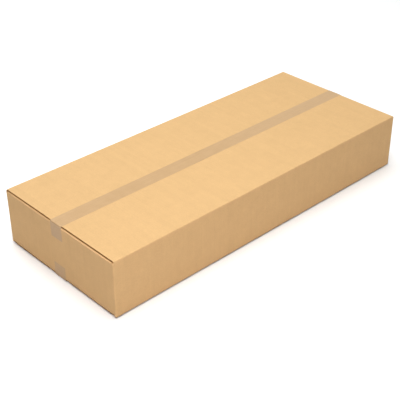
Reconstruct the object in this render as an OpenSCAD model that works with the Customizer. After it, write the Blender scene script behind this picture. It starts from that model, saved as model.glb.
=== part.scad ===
// Closed shipping carton: a long, flat slotted case folded from one sheet of corrugated board.
// Eight flaps: the two short ones at each face fold in first, the two long ones close over them
// and meet on the centre line. A strip of packing tape closes the top seam, another the bottom
// seam, and both run down or up the short walls. Origin: middle of the underside. +X runs along
// the length, +Y across, +Z up. The glued corner is the one at +X, +Y. All lengths in mm.

/* [Box] */
// Outer length, along X
body_l = 1180; // [800:10:1500]
// Outer width, along Y
body_w = 490; // [300:10:600]
// Outer height of the board, along Z
body_h = 185; // [140:5:400]

/* [Board] */
// Thickness of the corrugated board
board_t = 5; // [3.5:0.5:7]
// Outer radius of every fold; the score crushes the board, so the fold's inner corner is sharp
fold_r = 3; // [2:0.5:3]
// Clear gap between a long flap and the short flap under it
flap_gap = 0.5; // [0.2:0.1:1]
// Gap on the centre line where the two long flaps meet
seam_gap = 1; // [0.5:0.5:6]
// How far below the top, and above the bottom, the slots between the flaps end
slot_end = 3; // [1:0.5:3.5]
// Depth of the short flaps, as a share of half the width
short_flap_share = 0.97; // [0.6:0.01:1]
// Set-back of the +Y long flaps' cut ends from the short walls' outer faces
slot_back = 3.25; // [3:0.25:8]
// How much further back the cut ends of the -Y long flaps are
slot_extra = 0.75; // [0:0.25:3]
// Clear gap between the ends of a short flap and the long walls
short_flap_gap = 1; // [0.5:0.25:3]

/* [Glued corner] */
// Width of the tab that is glued inside the long wall
tab_w = 38; // [25:1:50]
// How much shorter the tab is at each end of its free edge
tab_taper = 10; // [4:1:16]
// Set-back of the long wall's cut edge from the short wall's outer face
cut_edge_back = 1.5; // [1:0.25:1.75]

/* [Tape] */
// Width of both tapes
tape_w = 50; // [36:1:75]
// Thickness of the tape
tape_t = 0.2; // [0.1:0.05:0.3]
// Offset of both tapes from the centre line, towards +Y
tape_shift = 3; // [-6:1:6]
// How far the top tape reaches down each short wall, from the top
top_tail = 51; // [30:1:60]
// How far the bottom tape reaches up each short wall, from the bottom
bottom_tail = 47; // [30:1:60]

/* [Hidden] */
$fn = 96;
// Depth of the short flaps' outer faces below the top, and above the bottom
lift = board_t + flap_gap;
// Half lengths of the walls, between the upright folds' axes
straight_x = body_l / 2 - fold_r;
straight_y = body_w / 2 - fold_r;
// Height at which the short flaps' folds end, above the bottom and below the top
short_fold_z = lift + fold_r;
// Half width of the short flaps
short_y = body_w / 2 - board_t - short_flap_gap;
// Inner radius of the tape's bend from the long flaps down the short walls
tape_r = min(slot_back, short_fold_z);

// The rounded outer corner of a fold's section, about its axis, towards -u and +v
module quarter_fold() {
  intersection() {
    circle(r = fold_r);
    translate([-fold_r, 0])
      square(fold_r);
  }
}

// Section of a wall whose outer face is at u = 0, with a flap of depth d at its top and bottom. The
// flaps' outer faces are at a depth of z0 below the top and above the bottom.
module flap_section(d, z0) {
  translate([0, z0 + fold_r])
    square([board_t, body_h - 2 * (z0 + fold_r)]);
  translate([fold_r, z0])
    square([d - fold_r, board_t]);
  translate([fold_r, body_h - z0 - board_t])
    square([d - fold_r, board_t]);
  translate([fold_r, body_h - z0 - fold_r])
    quarter_fold();
  translate([fold_r, z0 + fold_r])
    mirror([0, 1])
      quarter_fold();
}

// The long wall at -Y: its flaps end at the slots, and the wall goes on to the upright folds
module long_side(back) {
  translate([back - body_l / 2, -body_w / 2, 0])
    rotate([90, 0, 90])
      linear_extrude(body_l - 2 * back)
        flap_section((body_w - seam_gap) / 2, 0);
  translate([-straight_x, -body_w / 2, slot_end])
    cube([2 * straight_x, board_t, body_h - 2 * slot_end]);
}

// The short wall at -X, up to y = to_y, with its flaps up to y = flap_to_y
module short_side(to_y, flap_to_y) {
  translate([-body_l / 2, flap_to_y, 0])
    rotate([90, 0, 0])
      linear_extrude(flap_to_y + short_y)
        flap_section(short_flap_share * body_w / 2, lift);
  translate([-body_l / 2, -straight_y, short_fold_z])
    cube([board_t, straight_y + to_y, body_h - 2 * short_fold_z]);
}

// An upright fold at the corner -X, +Y, between the ends of its slots
module upright_fold() {
  translate([-body_l / 2, body_w / 2, slot_end])
    linear_extrude(body_h - 2 * slot_end) {
      translate([fold_r, -fold_r])
        quarter_fold();
      translate([0, -board_t])
        square([board_t, board_t - fold_r]);
      translate([fold_r, -board_t])
        square([board_t - fold_r, board_t]);
    }
}

// The joint at +X, +Y: the short wall turns in under the long wall and ends in a tapered tab
module glued_corner() {
  translate([straight_x, straight_y - board_t, short_fold_z])
    linear_extrude(body_h - 2 * short_fold_z)
      mirror([1, 0])
        quarter_fold();
  translate([0, body_w / 2 - board_t, 0])
    rotate([90, 0, 0])
      linear_extrude(board_t)
        polygon([
          [straight_x, short_fold_z],
          [straight_x, body_h - short_fold_z],
          [body_l / 2 - tab_w, body_h - short_fold_z - tab_taper],
          [body_l / 2 - tab_w, short_fold_z + tab_taper]
        ]);
  translate([straight_x, body_w / 2 - board_t, slot_end])
    cube([fold_r - cut_edge_back, board_t, body_h - 2 * slot_end]);
  translate([straight_x, body_w / 2 - board_t - 1, short_fold_z])
    cube([fold_r / 4, 1, body_h - 2 * short_fold_z]);
}

module carton() {
  color([0.76, 0.60, 0.40])
    difference() {
      union() {
        long_side(slot_back + slot_extra);
        mirror([0, 1, 0])
          long_side(slot_back);
        short_side(straight_y, short_y);
        mirror([1, 0, 0])
          short_side(straight_y - board_t, short_y - board_t);
        upright_fold();
        mirror([0, 1, 0])
          upright_fold();
        mirror([1, 0, 0])
          mirror([0, 1, 0])
            upright_fold();
        glued_corner();
      }
      translate([-body_l / 2, tape_shift - tape_w / 2, -1])
        cube([body_l, tape_w, 1 + tape_t]);
    }
}

// Section of the tape at the end -X, about the corner between the level of the flaps and the wall's
// outer face. It leaves the long flap's cut edge level, turns down in one bend, since the film is
// stiff, and runs down the wall past the short flap's fold.
module tape_end_section(tail) {
  intersection() {
    difference() {
      translate([tape_r, -tape_r])
        circle(r = tape_r + tape_t);
      translate([tape_r, -tape_r])
        circle(r = tape_r);
    }
    translate([-tape_t, -tape_r])
      square(tape_r + tape_t);
  }
  translate([tape_r, 0])
    square([tape_r + 10, tape_t]);
  translate([-tape_t, -tail])
    square([tape_t, tail - tape_r]);
}

// The end -X of a tape, with the flaps' level at z
module tape_end(z, tail) {
  translate([-body_l / 2, tape_shift + tape_w / 2, z])
    rotate([90, 0, 0])
      linear_extrude(tape_w)
        tape_end_section(tail);
}

// Half of a tape, from the middle to the end -X
module half_tape(z, tail) {
  tape_end(z, tail);
  translate([2 * tape_r + 10 - body_l / 2, tape_shift - tape_w / 2, z])
    cube([body_l / 2 - 2 * tape_r - 10, tape_w, tape_t]);
}

module top_tape() {
  color([0.80, 0.66, 0.50])
    for (m = [0, 1])
      mirror([m, 0, 0])
        half_tape(body_h, top_tail);
}

module bottom_tape() {
  color([0.80, 0.66, 0.50])
    for (m = [0, 1])
      mirror([m, 0, 0])
        translate([0, 0, body_h])
          mirror([0, 0, 1])
            half_tape(body_h - tape_t, bottom_tail - tape_t);
}

carton();
top_tape();
bottom_tape();
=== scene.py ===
import math

import bmesh
import bpy
import numpy as np
from mathutils import Matrix, Vector


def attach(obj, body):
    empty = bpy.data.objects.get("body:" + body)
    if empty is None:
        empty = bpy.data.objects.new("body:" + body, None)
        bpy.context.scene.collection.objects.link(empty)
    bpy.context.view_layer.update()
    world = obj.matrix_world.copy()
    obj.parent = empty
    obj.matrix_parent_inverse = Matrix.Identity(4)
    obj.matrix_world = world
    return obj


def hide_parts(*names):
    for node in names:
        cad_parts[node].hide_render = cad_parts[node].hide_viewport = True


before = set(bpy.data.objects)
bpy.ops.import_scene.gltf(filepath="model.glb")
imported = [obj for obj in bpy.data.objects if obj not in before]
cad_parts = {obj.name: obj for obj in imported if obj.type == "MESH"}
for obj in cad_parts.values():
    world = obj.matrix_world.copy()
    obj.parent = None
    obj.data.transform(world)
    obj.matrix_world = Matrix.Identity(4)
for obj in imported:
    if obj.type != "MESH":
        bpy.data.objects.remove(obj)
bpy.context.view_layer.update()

# ---------------------------------------------------------------- sizes, in metres, as in the CAD
MM = 0.001
L, W, H = 1180 * MM, 490 * MM, 185 * MM
T = 5 * MM  # board
LINER = 0.45 * MM
R = 3 * MM  # outer radius of a fold
FILLET = 0.6 * MM  # radius of its inner corner
Z0 = T + FILLET  # how far a fold reaches from the outer corner
LIFT = T + 0.5 * MM  # how much lower the short flaps lie
SEAM = 1.0 * MM
SLOT_END = 3 * MM
BACK_FAR, BACK_NEAR = 3.25 * MM, 4.0 * MM  # set-back of the cut ends of the +Y and the -Y long flaps
SHORT_END = T + 1 * MM  # of the short flaps' ends, from the long walls' outer faces
TAB, TAB_IN = 38 * MM, T + 0.1 * MM  # the glued tab, and its outer face in from the long wall's
CUT_BACK = 1.5 * MM
TAPE_W, TAPE_Y, TAPE_T = 50 * MM, 3 * MM, 0.1 * MM
TOP_TAIL, BOTTOM_TAIL = 51 * MM, 47 * MM
REST = 0.02 * MM


# ---------------------------------------------------------------- the folded sheet
def spread(a, b, step, near=(), both=True):
    """Grid lines from a to b about a step apart, with the lines in near kept at their distance from the ends."""
    lines = [a + n for n in near] + ([b - n for n in near] if both else [])
    lo = a + (near[-1] if near else 0.0)
    hi = b - (near[-1] if near and both else 0.0)
    n = max(1, round((hi - lo) / step))
    return sorted({round(v, 7) for v in [a, b, *lines, *[lo + (hi - lo) * i / n for i in range(n + 1)]]})


def smooth(t):
    t = min(1.0, max(0.0, t))
    return t * t * (3 - 2 * t)


class Sheet:
    """Hexahedral cells of the board. Only the faces that no second cell shares become the mesh."""

    def __init__(self):
        self.index, self.co, self.core, self.cells = {}, [], [], []

    def point(self, p, core):
        key = tuple(round(c * 1e6) for c in p)
        i = self.index.get(key)
        if i is None:
            i = self.index[key] = len(self.co)
            self.co.append(p)
            self.core.append(core)
        return i

    def block(self, us, vs, ws, place, keep=None):
        grid = {}
        for i, u in enumerate(us):
            for j, v in enumerate(vs):
                for k, w in enumerate(ws):
                    grid[i, j, k] = self.point(place(u, v, w), float(0 < k < len(ws) - 1))
        for i in range(len(us) - 1):
            for j in range(len(vs) - 1):
                for k in range(len(ws) - 1):
                    if keep is None or keep(i, j, k):
                        self.cells.append([grid[i + a, j + b, k + c] for c in (0, 1) for b in (0, 1) for a in (0, 1)])

    def mesh(self, name, warp):
        faces = {}
        quads = ((0, 2, 3, 1), (4, 5, 7, 6), (0, 1, 5, 4), (2, 6, 7, 3), (0, 4, 6, 2), (1, 3, 7, 5))
        for c in self.cells:
            for q in quads:
                f = [c[n] for n in q]
                key = tuple(sorted(f))
                faces[key] = None if key in faces else f
        co = warp(np.array(self.co, float))
        keep = [f for f in faces.values() if f]
        used = sorted({i for f in keep for i in f})
        new = {old: n for n, old in enumerate(used)}
        me = bpy.data.meshes.new(name)
        me.from_pydata(co[used].tolist(), [], [[new[i] for i in f] for f in keep])
        bm = bmesh.new()
        bm.from_mesh(me)
        bmesh.ops.recalc_face_normals(bm, faces=bm.faces)
        bm.to_mesh(me)
        bm.free()
        me.validate()
        # paler paper with a painted highlight along the folds, and a painted contact shadow along the bottom folds
        pale_and_highlight, contact_shadow_paint = creases(np.array(self.co)[used])
        for label, values in (("crease", pale_and_highlight), ("contact_shadow_paint", contact_shadow_paint), ("core", np.array(self.core)[used])):
            me.attributes.new(label, "FLOAT", "POINT").data.foreach_set("value", values)
        return me


def creases(co):
    """Two values a point, 1 along the middle of a fold and 0 a few millimetres away: the first is paler paper along the
    scores and a painted highlight on the folds, strongest along the short flaps' folds towards -Y, and a little along
    the others; the second is a painted contact shadow, grey along the bottom folds where the carton stands on the
    floor."""
    m = R * (1 - math.sqrt(0.5))
    a, b, c = L / 2 - np.abs(co[:, 0]) - m, W / 2 - np.abs(co[:, 1]) - m, np.minimum(co[:, 2], H - co[:, 2]) - m
    near = lambda p, q: np.exp(-(np.hypot(p, q) / (2.4 * MM)) ** 2)
    # the painted highlight on the short flaps' folds is stronger towards -Y
    uneven = np.clip(0.8 - 0.9 * co[:, 1] / W, 0, 1)
    low = co[:, 2] < H / 2
    pale_and_highlight = np.maximum.reduce([uneven * near(a, c - LIFT), 0.3 * near(b, c) * ~low, 0.1 * near(a, b)])
    # the second value paints the contact shadow along the bottom folds
    return pale_and_highlight, near(b, c) * low


ARC = R * math.pi / 2


def fold_lines(s):
    """Arc lengths of the grid lines round a fold that starts s from the outer corner."""
    first = [0.0, 0.25 * MM] if s - R < 0.3 * MM else spread(0.0, s - R, 0.8 * MM, near=(0.4 * MM,), both=False)
    a = s - R
    return first[:-1] + [a + ARC * i / 6 for i in range(7)] + [a + ARC + (Z0 - R) * i / 3 for i in (1, 2, 3)]


def fold(t, w, s, dent):
    """Section of a fold, at arc length t on its outer face and depth w in the board. It starts on the first wall, s from the
    outer corner, and ends on the second, Z0 from it. Returns the distances in from the first and the second wall's outer face.
    The score crushes the board, which leaves the inner corner sharp and a shallow dent beside each end of the bend."""
    end = s - R + ARC + Z0 - R
    if t <= s - R:
        p, q, n = 0.0, s - t, (1.0, 0.0)
    elif t <= s - R + ARC:
        th = (t - s + R) / R
        p, q, n = R - R * math.cos(th), R - R * math.sin(th), (math.cos(th), math.sin(th))
    else:
        p, q, n = R + t - (s - R + ARC), 0.0, (0.0, 1.0)
    f = t / end
    if s >= T:
        p2, q2 = Z0 - FILLET * math.cos(f * math.pi / 2), Z0 - FILLET * math.sin(f * math.pi / 2)
    else:
        p2, q2 = T + (Z0 - T) * f, s + (T - s) * f
    k = w / T
    p, q = p + (p2 - p) * k, q + (q2 - q) * k
    if w < T / 2:
        d = math.exp(-(((t - (s - R - 0.9 * MM)) / (0.8 * MM)) ** 2)) * smooth(t / (0.7 * MM))
        d += 0.6 * math.exp(-(((t - (s - R + ARC + 0.9 * MM)) / (0.9 * MM)) ** 2)) * smooth((end - t) / (0.7 * MM))
        p, q = p + n[0] * dent * d, q + n[1] * dent * d
    return p, q


ws = [0.0, LINER, T - LINER, T]
FT = fold_lines(Z0)[-1]
ZF_LONG, ZF_SHORT = Z0, LIFT + Z0  # where the folds of the long and the short flaps begin, from the top or the bottom
Z_WALL = spread(ZF_SHORT, H - ZF_SHORT, 9 * MM, near=(1.5 * MM, 4 * MM))
Z_LONG = [ZF_LONG, ZF_LONG + 2.5 * MM, *Z_WALL, H - ZF_LONG - 2.5 * MM, H - ZF_LONG]
Z_POST = [SLOT_END, SLOT_END + 1.3 * MM, *Z_LONG, H - SLOT_END - 1.3 * MM, H - SLOT_END]
sheet = Sheet()


def panel(origin, along, inward, us, lift, depth, dent):
    """A wall with its top and bottom flap: u runs along the wall, v over it from the bottom flap's free edge to the top
    flap's, and w into the board. The fluting ends inside the cut edges, between the two liners."""
    zf = lift + Z0
    flap = spread(0.0, depth - Z0, 13 * MM, near=(1.6 * MM, 4.5 * MM))
    low = [zf - FT - f for f in reversed(flap)] + [zf - t for t in reversed(fold_lines(Z0)[1:-1])]
    vs = low + (Z_WALL if lift else Z_LONG) + [H - v for v in reversed(low)]
    n = len(vs)

    def place(u, v, w):
        top = v > H / 2
        s = v - (H - zf) if top else zf - v
        if s <= 0:
            d, z = w, v
        else:
            if s < FT:
                d, h = fold(s, w, Z0, dent)
            else:
                d, h = Z0 + s - FT, w
            z = H - lift - h if top else lift + h
            if u in (us[1], us[-2]) and 0 < w < T:
                ph = 1.7 * lift / MM + (2.1 if u > 0 else 0) + 3.0 * inward[0] + 4.4 * inward[1] + (1.9 if w > T / 2 else 0)
                u += (0.75 * math.sin(v / (11.3 * MM) + ph) + 0.45 * math.sin(v / (4.9 * MM) + 2 * ph)) * MM * smooth(s / (3 * MM))
        return (origin[0] + along[0] * u + inward[0] * d, origin[1] + along[1] * u + inward[1] * d, z)

    def keep(i, j, k):
        wall = zf <= (vs[j] + vs[j + 1]) / 2 <= H - zf
        return k != 1 or (j not in (0, n - 2) and (wall or i not in (0, len(us) - 2)))

    sheet.block(us, vs, ws, place, keep)


def long_wall(sign, back):
    a = L / 2 - back
    us = spread(-a, a, 12 * MM, near=(4.5 * MM, 8 * MM))
    panel((0, sign * W / 2), (1, 0), (0, -sign), us, 0.0, (W - SEAM) / 2, 0.14 * MM)


def short_wall(sign, y_lo, y_hi, flap_lo, flap_hi):
    us = spread(flap_lo, flap_hi, 12 * MM, near=(2.6 * MM, 6 * MM))
    panel((sign * L / 2, 0), (0, 1), (-sign, 0), us, LIFT, 0.97 * W / 2, 0.3 * MM)
    for lo, hi in ((y_lo, flap_lo), (flap_hi, y_hi)):
        sheet.block([lo, hi], Z_WALL, ws, lambda u, v, w: (sign * (L / 2 - w), u, v))


def corner(sx, sy, s, y_in=0.0, zs=Z_POST):
    """Upright fold from the long wall, s from the corner, to the short wall. Beside the flaps it is cut free of them."""
    us = fold_lines(s)

    def place(t, v, w):
        p, q = fold(t, w, s, 0.1 * MM)
        return (sx * (L / 2 - q), sy * (W / 2 - y_in - p), v)

    def keep(i, j, k):
        if zs is Z_WALL:
            return True
        beside = not ZF_LONG <= (zs[j] + zs[j + 1]) / 2 <= H - ZF_LONG
        return not (beside and i == 0) and not (k == 1 and j in (0, len(zs) - 2))

    sheet.block(us, zs, ws, place, keep)


long_wall(-1, BACK_NEAR)
long_wall(1, BACK_FAR)
Y_END, Y_FLAP = W / 2 - Z0, W / 2 - SHORT_END
short_wall(-1, -Y_END, Y_END, -Y_FLAP, Y_FLAP)
short_wall(1, -Y_END, Y_END - TAB_IN, -Y_FLAP, Y_FLAP - T)
corner(-1, 1, BACK_FAR)
corner(-1, -1, BACK_NEAR)
corner(1, -1, BACK_NEAR)
corner(1, 1, Z0, TAB_IN, Z_WALL)


def cut_edge_keep(i, j, k):
    beside = not ZF_LONG <= (Z_POST[j] + Z_POST[j + 1]) / 2 <= H - ZF_LONG
    return not (beside and i == 0) and not (k == 1 and i == 1)


# the long wall's cut edge at the glued corner, and the tab under it
sheet.block(
    [L / 2 - BACK_FAR, L / 2 - BACK_FAR + 0.3 * MM, L / 2 - CUT_BACK],
    Z_POST, ws, lambda u, v, w: (u, W / 2 - w, v), cut_edge_keep,
)


def tab_place(u, v, w):
    half = H / 2 - ZF_SHORT
    return (L / 2 - Z0 - u, W / 2 - TAB_IN - w, H / 2 + (v - H / 2) / half * (half - 10 * MM * u / (TAB - Z0)))


sheet.block(spread(0.0, TAB - Z0, 6 * MM), Z_WALL, ws, tab_place)


def smoothstep(t):
    t = np.clip(t, 0, 1)
    return t * t * (3 - 2 * t)


def bow(t, p=2.0):
    """1 in the middle of -1..1, 0 at its ends."""
    return np.clip(1 - np.abs(t) ** p, 0, 1)


def warp(co):
    """The gentle set of a taped box: walls and flaps are a fraction of a millimetre to about a millimetre in from the flat."""
    x, y, z = co[:, 0].copy(), co[:, 1].copy(), co[:, 2].copy()
    sx, sy, sz = x / (L / 2), y / (W / 2), (z - H / 2) / (H / 2)
    out = co.copy()
    near_wall = np.clip((np.abs(sy) - 0.8) / 0.2, 0, 1)
    ripple = 0.5 + 0.5 * np.sin(5.1 * sx + 1.3) * np.sin(2.3 * sx - 0.4)
    dy = (0.9 * bow(sx) * bow(sz) * ripple) * MM * near_wall
    out[:, 1] = y - np.sign(y) * dy
    near_end = np.clip((np.abs(sx) - 0.9) / 0.1, 0, 1)
    dx = 0.7 * bow(sy) * bow(sz) * MM * near_end
    out[:, 0] = x - np.sign(x) * dx
    top = np.clip((sz - 0.8) / 0.2, 0, 1)
    flap = bow((np.abs(sy) - 0.5) / 0.5)
    hollow = 0.55 * flap * (0.5 + 0.5 * np.cos(4.0 * sx + 0.7)) + 0.25 * bow(sx) * bow(sy)
    out[:, 2] = out[:, 2] - hollow * MM * top
    # the bottom flaps bulge a little, so that the carton stands on their middle and on the tape over their seam
    rim = np.maximum(1.4 * (1 - smoothstep((L / 2 - np.abs(x)) / (60 * MM))), 3.1 * (1 - smoothstep((W / 2 - np.abs(y)) / (70 * MM))))
    out[:, 2] += (rim + 0.14) * MM * (1 - smoothstep(z / (50 * MM)))
    return out


mesh = sheet.mesh("carton_board", warp)
board = bpy.data.objects.new("carton_board", mesh)
bpy.context.scene.collection.objects.link(board)
mesh.shade_smooth()
mesh.set_sharp_from_angle(angle=math.radians(50))


# ---------------------------------------------------------------- the two tapes
def tape_path(tail):
    """Half section of a tape at the end -X, from its cut end up the wall and over the edge: points (x, z) of its inner face,
    with their outward normals. The film is stiff enough to leave the long flap's edge level and to turn down in one bend."""
    pts = []
    r = BACK_FAR
    for d in [tail - (tail - 14 * MM) * i / 10 for i in range(10)] + [14 * MM - (14 * MM - r) * i / 14 for i in range(14)]:
        pressed = 0.22 * MM * math.exp(-(((d - LIFT - R - 0.9 * MM) / (1.3 * MM)) ** 2))  # into the crease
        pts.append((-L / 2 - REST + pressed, H - d, -1.0, 0.0))
    for i in range(13):
        a = math.pi / 2 * (1 - i / 12)
        pts.append((r - L / 2 - (r + REST) * math.sin(a), H - r + (r + REST) * math.cos(a), -math.sin(a), math.cos(a)))
    return pts


def make_tape(name, top, tail):
    ys = {round(TAPE_Y - TAPE_W / 2 + TAPE_W * i / 25, 7) for i in range(26)}
    ys = sorted(ys | {round(v * MM, 7) for v in (-0.9, -0.5, -0.25, 0.25, 0.5, 0.9)})
    end = tape_path(tail)
    rows = []
    for y in ys:
        mid = np.linspace(end[-1][0], -end[-1][0], 120)[1:-1]
        sink = math.exp(-((y / (0.45 * MM)) ** 2)) * 0.11 * MM  # into the seam between the flaps
        rows.append([*end, *[(x, H + REST - sink, 0.0, 1.0) for x in mid], *[(-x, z, -nx, nz) for x, z, nx, nz in reversed(end)]])
    n, m = len(rows[0]), len(ys)
    verts = []
    for layer in (0, 1):
        for y, row in zip(ys, rows):
            tooth = 0.9 * MM * abs(((y - ys[0]) / (2 * MM)) % 2 - 1)  # the cutter leaves both ends toothed
            for i, (x, z, nx, nz) in enumerate(row):
                verts.append((x + nx * TAPE_T * layer, y, z + nz * TAPE_T * layer + (tooth if i in (0, n - 1) else 0.0)))
    at = lambda layer, j, i: layer * n * m + j * n + i
    faces = []
    for j in range(m - 1):
        for i in range(n - 1):
            faces.append((at(1, j, i), at(1, j, i + 1), at(1, j + 1, i + 1), at(1, j + 1, i)))
            faces.append((at(0, j, i), at(0, j + 1, i), at(0, j + 1, i + 1), at(0, j, i + 1)))
        faces.append((at(0, j, 0), at(1, j, 0), at(1, j + 1, 0), at(0, j + 1, 0)))
        faces.append((at(0, j, n - 1), at(0, j + 1, n - 1), at(1, j + 1, n - 1), at(1, j, n - 1)))
    for i in range(n - 1):
        faces.append((at(0, 0, i), at(0, 0, i + 1), at(1, 0, i + 1), at(1, 0, i)))
        faces.append((at(0, m - 1, i), at(1, m - 1, i), at(1, m - 1, i + 1), at(0, m - 1, i + 1)))
    co = np.array(verts)
    if not top:
        co[:, 2] = H - co[:, 2]
        faces = [tuple(reversed(f)) for f in faces]
    me = bpy.data.meshes.new(name)
    me.from_pydata(warp(co).tolist(), [], faces)
    me.validate()
    me.shade_smooth()
    me.set_sharp_from_angle(angle=math.radians(60))
    o = bpy.data.objects.new(name, me)
    bpy.context.scene.collection.objects.link(o)
    return o


top_tape = make_tape("tape_top_strip", True, TOP_TAIL)
bottom_tape = make_tape("tape_bottom_strip", False, BOTTOM_TAIL)


# ---------------------------------------------------------------- materials
def new_material(name):
    m = bpy.data.materials.new(name)
    m.use_nodes = True
    nt = m.node_tree
    nt.nodes.clear()
    out = nt.nodes.new("ShaderNodeOutputMaterial")
    bsdf = nt.nodes.new("ShaderNodeBsdfPrincipled")
    nt.links.new(bsdf.outputs["BSDF"], out.inputs["Surface"])
    return m, nt, bsdf


def node(nt, kind, **sockets):
    n = nt.nodes.new(kind)
    for k, v in sockets.items():
        if hasattr(n, k) and not (k in [s.name for s in n.inputs]):
            setattr(n, k, v)
        else:
            n.inputs[k].default_value = v
    return n


def mapping(nt, coords, scale):
    m = nt.nodes.new("ShaderNodeMapping")
    m.inputs["Scale"].default_value = scale
    nt.links.new(coords, m.inputs["Vector"])
    return m.outputs["Vector"]


def ramp(nt, fac, stops):
    r = nt.nodes.new("ShaderNodeValToRGB")
    r.color_ramp.elements[0].position, r.color_ramp.elements[0].color = stops[0]
    r.color_ramp.elements[1].position, r.color_ramp.elements[1].color = stops[-1]
    for p, c in stops[1:-1]:
        e = r.color_ramp.elements.new(p)
        e.color = c
    nt.links.new(fac, r.inputs["Fac"])
    return r.outputs["Color"]


def mix(nt, kind, fac, a, b):
    n = nt.nodes.new("ShaderNodeMix")
    n.data_type = "RGBA"
    n.blend_type = kind
    for sock, v in ((n.inputs[0], fac), (n.inputs[6], a), (n.inputs[7], b)):
        if hasattr(v, "links"):
            nt.links.new(v, sock)
        else:
            sock.default_value = v
    return n.outputs[2]


KRAFT = (0.591, 0.371, 0.172)
TAPE = (0.476, 0.307, 0.161)
SKY = 2.14


def board_material():
    m, nt, bsdf = new_material("kraft_board")
    tc = nt.nodes.new("ShaderNodeTexCoord")
    ob = tc.outputs["Object"]
    base = (*KRAFT, 1.0)
    # cloudiness of the paper, a centimetre to a few across
    cloud = node(nt, "ShaderNodeTexNoise", Scale=30.0, Detail=4.0, Roughness=0.78)
    nt.links.new(ob, cloud.inputs["Vector"])
    c1 = ramp(nt, cloud.outputs["Fac"], [(0.3, (0.966, 0.966, 0.962, 1)), (0.7, (1.025, 1.025, 1.029, 1))])
    # fibres, a few millimetres long, drawn out along the machine direction
    fib = node(nt, "ShaderNodeTexNoise", Scale=1.0, Detail=3.0, Roughness=0.65)
    nt.links.new(mapping(nt, ob, (260, 900, 900)), fib.inputs["Vector"])
    c2 = ramp(nt, fib.outputs["Fac"], [(0.25, (0.9, 0.895, 0.88, 1)), (0.5, (1, 1, 1, 1)), (0.8, (1.06, 1.06, 1.06, 1))])
    # sparse dark specks
    spk = node(nt, "ShaderNodeTexVoronoi", Scale=330.0)
    nt.links.new(ob, spk.inputs["Vector"])
    c3 = ramp(nt, spk.outputs["Distance"], [(0.0, (0.72, 0.68, 0.62, 1)), (0.09, (1, 1, 1, 1))])
    # bands along the flutes, a centimetre or two apart: along X on the long walls and flaps, along Y on the short ones
    geo = nt.nodes.new("ShaderNodeNewGeometry")
    sep = nt.nodes.new("ShaderNodeSeparateXYZ")
    nt.links.new(geo.outputs["Normal"], sep.inputs[0])
    ax = nt.nodes.new("ShaderNodeMath"); ax.operation = "ABSOLUTE"
    nt.links.new(sep.outputs["X"], ax.inputs[0])
    bands = []
    for scale in ((95, 3, 3), (3, 95, 3)):
        n = node(nt, "ShaderNodeTexNoise", Scale=1.0, Detail=3.0, Roughness=0.6)
        nt.links.new(mapping(nt, ob, scale), n.inputs["Vector"])
        bands.append(ramp(nt, n.outputs["Fac"], [(0.3, (0.98, 0.98, 0.978, 1)), (0.7, (1.015, 1.015, 1.015, 1))]))
    k = mix(nt, "MULTIPLY", 1.0, base, mix(nt, "MIX", ax.outputs[0], *bands))
    k = mix(nt, "MULTIPLY", 1.0, k, c1)
    k = mix(nt, "MULTIPLY", 1.0, k, c2)
    k = mix(nt, "MULTIPLY", 0.5, k, c3)
    # the paper is paler where a score stretches it, and the same lift paints a highlight on the folds
    att = nt.nodes.new("ShaderNodeAttribute")
    att.attribute_name = "crease"
    k = mix(nt, "MULTIPLY", 1.0, k, ramp(nt, att.outputs["Fac"], [(0.0, (1, 1, 1, 1)), (1.0, (1.16, 1.16, 1.2, 1))]))
    # painted contact shadow: the bottom folds, where the carton stands on the floor, are darkened grey
    contact_shadow_node = nt.nodes.new("ShaderNodeAttribute")
    contact_shadow_node.attribute_name = "contact_shadow_paint"
    k = mix(nt, "MULTIPLY", 1.0, k, ramp(nt, contact_shadow_node.outputs["Fac"], [(0.0, (1, 1, 1, 1)), (1.0, (0.64, 0.72, 0.86, 1))]))
    # the fluting between the liners is browner, and darkened further as painted shade of its open flutes
    core = nt.nodes.new("ShaderNodeAttribute")
    core.attribute_name = "core"
    k = mix(nt, "MULTIPLY", 1.0, k, ramp(nt, core.outputs["Fac"], [(0.0, (1, 1, 1, 1)), (1.0, (0.7, 0.56, 0.42, 1))]))
    nt.links.new(k, bsdf.inputs["Base Color"])
    # flutes showing through the liner as a ripple, the same way round
    pos = nt.nodes.new("ShaderNodeSeparateXYZ")
    nt.links.new(ob, pos.inputs[0])
    pitch = 8.6 * MM

    def wave(sock):
        a = nt.nodes.new("ShaderNodeMath"); a.operation = "MULTIPLY"
        a.inputs[1].default_value = 2 * math.pi / pitch
        nt.links.new(sock, a.inputs[0])
        s = nt.nodes.new("ShaderNodeMath"); s.operation = "SINE"
        nt.links.new(a.outputs[0], s.inputs[0])
        return s.outputs[0]

    wx, wy = wave(pos.outputs["X"]), wave(pos.outputs["Y"])
    mx = nt.nodes.new("ShaderNodeMix"); mx.data_type = "FLOAT"
    nt.links.new(ax.outputs[0], mx.inputs[0])
    nt.links.new(wx, mx.inputs[2])
    nt.links.new(wy, mx.inputs[3])
    hn = node(nt, "ShaderNodeTexNoise", Scale=1.0, Detail=4.0, Roughness=0.7)
    nt.links.new(mapping(nt, ob, (420, 700, 700)), hn.inputs["Vector"])
    b1 = node(nt, "ShaderNodeBump", Strength=0.5, Distance=0.00009)
    nt.links.new(mx.outputs[0], b1.inputs["Height"])
    b2 = node(nt, "ShaderNodeBump", Strength=0.35, Distance=0.00012)
    nt.links.new(hn.outputs["Fac"], b2.inputs["Height"])
    nt.links.new(b1.outputs["Normal"], b2.inputs["Normal"])
    nt.links.new(b2.outputs["Normal"], bsdf.inputs["Normal"])
    rr = ramp(nt, fib.outputs["Fac"], [(0.3, (0.8, 0.8, 0.8, 1)), (0.7, (0.92, 0.92, 0.92, 1))])
    nt.links.new(rr, bsdf.inputs["Roughness"])
    bsdf.inputs["Specular IOR Level"].default_value = 0.25
    return m


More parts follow.
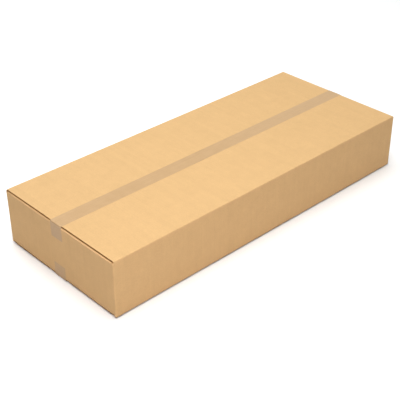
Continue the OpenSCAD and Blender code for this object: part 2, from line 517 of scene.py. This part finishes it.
def tape_material():
    m, nt, bsdf = new_material("packing_tape")
    tc = nt.nodes.new("ShaderNodeTexCoord")
    ob = tc.outputs["Object"]
    streak = node(nt, "ShaderNodeTexNoise", Scale=1.0, Detail=4.0, Roughness=0.6)
    nt.links.new(mapping(nt, ob, (6, 420, 60)), streak.inputs["Vector"])
    c1 = ramp(nt, streak.outputs["Fac"], [(0.3, (0.95, 0.95, 0.945, 1)), (0.7, (1.04, 1.04, 1.045, 1))])
    cloud = node(nt, "ShaderNodeTexNoise", Scale=40.0, Detail=3.0, Roughness=0.6)
    nt.links.new(ob, cloud.inputs["Vector"])
    c2 = ramp(nt, cloud.outputs["Fac"], [(0.3, (0.97, 0.965, 0.955, 1)), (0.7, (1.02, 1.02, 1.03, 1))])
    k = mix(nt, "MULTIPLY", 1.0, (*TAPE, 1.0), c1)
    k = mix(nt, "MULTIPLY", 1.0, k, c2)
    nt.links.new(k, bsdf.inputs["Base Color"])
    rr = ramp(nt, cloud.outputs["Fac"], [(0.3, (0.3, 0.3, 0.3, 1)), (0.7, (0.42, 0.42, 0.42, 1))])
    nt.links.new(rr, bsdf.inputs["Roughness"])
    hn = node(nt, "ShaderNodeTexNoise", Scale=1.0, Detail=3.0, Roughness=0.55)
    nt.links.new(mapping(nt, ob, (35, 160, 60)), hn.inputs["Vector"])
    b = node(nt, "ShaderNodeBump", Strength=0.25, Distance=0.0004)
    nt.links.new(hn.outputs["Fac"], b.inputs["Height"])
    nt.links.new(b.outputs["Normal"], bsdf.inputs["Normal"])
    bsdf.inputs["Specular IOR Level"].default_value = 0.15
    return m


kraft = board_material()
film = tape_material()
board.data.materials.append(kraft)
for o in (top_tape, bottom_tape):
    o.data.materials.append(film)
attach(board, "root")
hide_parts("carton")
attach(top_tape, "root")
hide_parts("top_tape")
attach(bottom_tape, "root")
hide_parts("bottom_tape")

# ---------------------------------------------------------------- floor, light, camera
me = bpy.data.meshes.new("floor")
S = 30.0
me.from_pydata([(-S, -S, 0), (S, -S, 0), (S, S, 0), (-S, S, 0)], [], [(0, 1, 2, 3)])
floor = bpy.data.objects.new("floor", me)
bpy.context.scene.collection.objects.link(floor)
fm, fnt, fb = new_material("floor_white")
fb.inputs["Base Color"].default_value = (0.907, 0.905, 0.908, 1)
fb.inputs["Roughness"].default_value = 0.9
fb.inputs["Specular IOR Level"].default_value = 0.0
floor.data.materials.append(fm)

world = bpy.data.worlds.new("studio")
bpy.context.scene.world = world
world.use_nodes = True
wnt = world.node_tree
bg = wnt.nodes["Background"]
bg.inputs["Strength"].default_value = SKY
sky_z = wnt.nodes.new("ShaderNodeSeparateXYZ")
wnt.links.new(wnt.nodes.new("ShaderNodeTexCoord").outputs["Generated"], sky_z.inputs[0])
# a wide soft light overhead, a dim surround and a white backdrop at the horizon
dome = ramp(wnt, sky_z.outputs["Z"], [
    (0.0, (0.285, 0.279, 0.282, 1)), (0.05, (0.347, 0.338, 0.343, 1)), (0.14, (0.07, 0.07, 0.07, 1)), (0.78, (0.07, 0.07, 0.07, 1)), (0.92, (1, 1, 1, 1)),
])
wnt.links.new(dome, bg.inputs["Color"])


def area(name, loc, target, size, power, colour=(1, 1, 1)):
    d = bpy.data.lights.new(name, "AREA")
    d.shape = "SQUARE"
    d.size = size
    d.energy = power
    d.color = colour
    o = bpy.data.objects.new(name, d)
    o.location = loc
    o.rotation_mode = "QUATERNION"
    o.rotation_quaternion = (Vector(target) - Vector(loc)).to_track_quat("-Z", "Y")
    bpy.context.scene.collection.objects.link(o)
    return o


# the light from overhead is a little greener than the light on the walls that the photo shows
area("key", (0, 0, 2.4), (0, 0, 0.05), 1.4, 20.6, (0.945, 1.048, 1.013))
area("key_left", (-0.9, -0.9, 1.6), (0, 0, 0.05), 0.8, 12.4)
area("side", (-1.6, -2.2, 1.4), (0, 0, 0.05), 1.2, 9.8, (1.17, 0.94, 0.95))
area("back", (0, 2.4, 1.6), (0, 0, 0.05), 1.2, 23)
area("back_right", (2.2, 1.3, 1.3), (0, 0, 0.05), 1.2, 3.9)

AZ, EL, ROLL, F_PX = -43.10, 32.34, -0.27, 908.0
CAM = Vector((-3.4673, -3.5838, 3.1649)) * W
a, e, r = map(math.radians, (AZ, EL, ROLL))
back = Vector((math.sin(a) * math.cos(e), -math.cos(a) * math.cos(e), math.sin(e)))
right = Vector((math.cos(a), math.sin(a), 0.0))
up = back.cross(right)
right, up = right * math.cos(r) + up * math.sin(r), up * math.cos(r) - right * math.sin(r)
cam_data = bpy.data.cameras.new("camera")
cam_data.sensor_width = 36.0
cam_data.lens = F_PX / 400 * 36.0
cam_data.clip_start, cam_data.clip_end = 0.05, 100
cam = bpy.data.objects.new("camera", cam_data)
rot = Matrix((right, up, back)).transposed()
cam.matrix_world = Matrix.Translation(CAM) @ rot.to_4x4()
bpy.context.scene.collection.objects.link(cam)
bpy.context.scene.camera = cam

sc = bpy.context.scene
sc.view_settings.view_transform = "Standard"
sc.view_settings.look = "None"
sc.view_settings.exposure = 0.0
sc.view_settings.gamma = 1.0
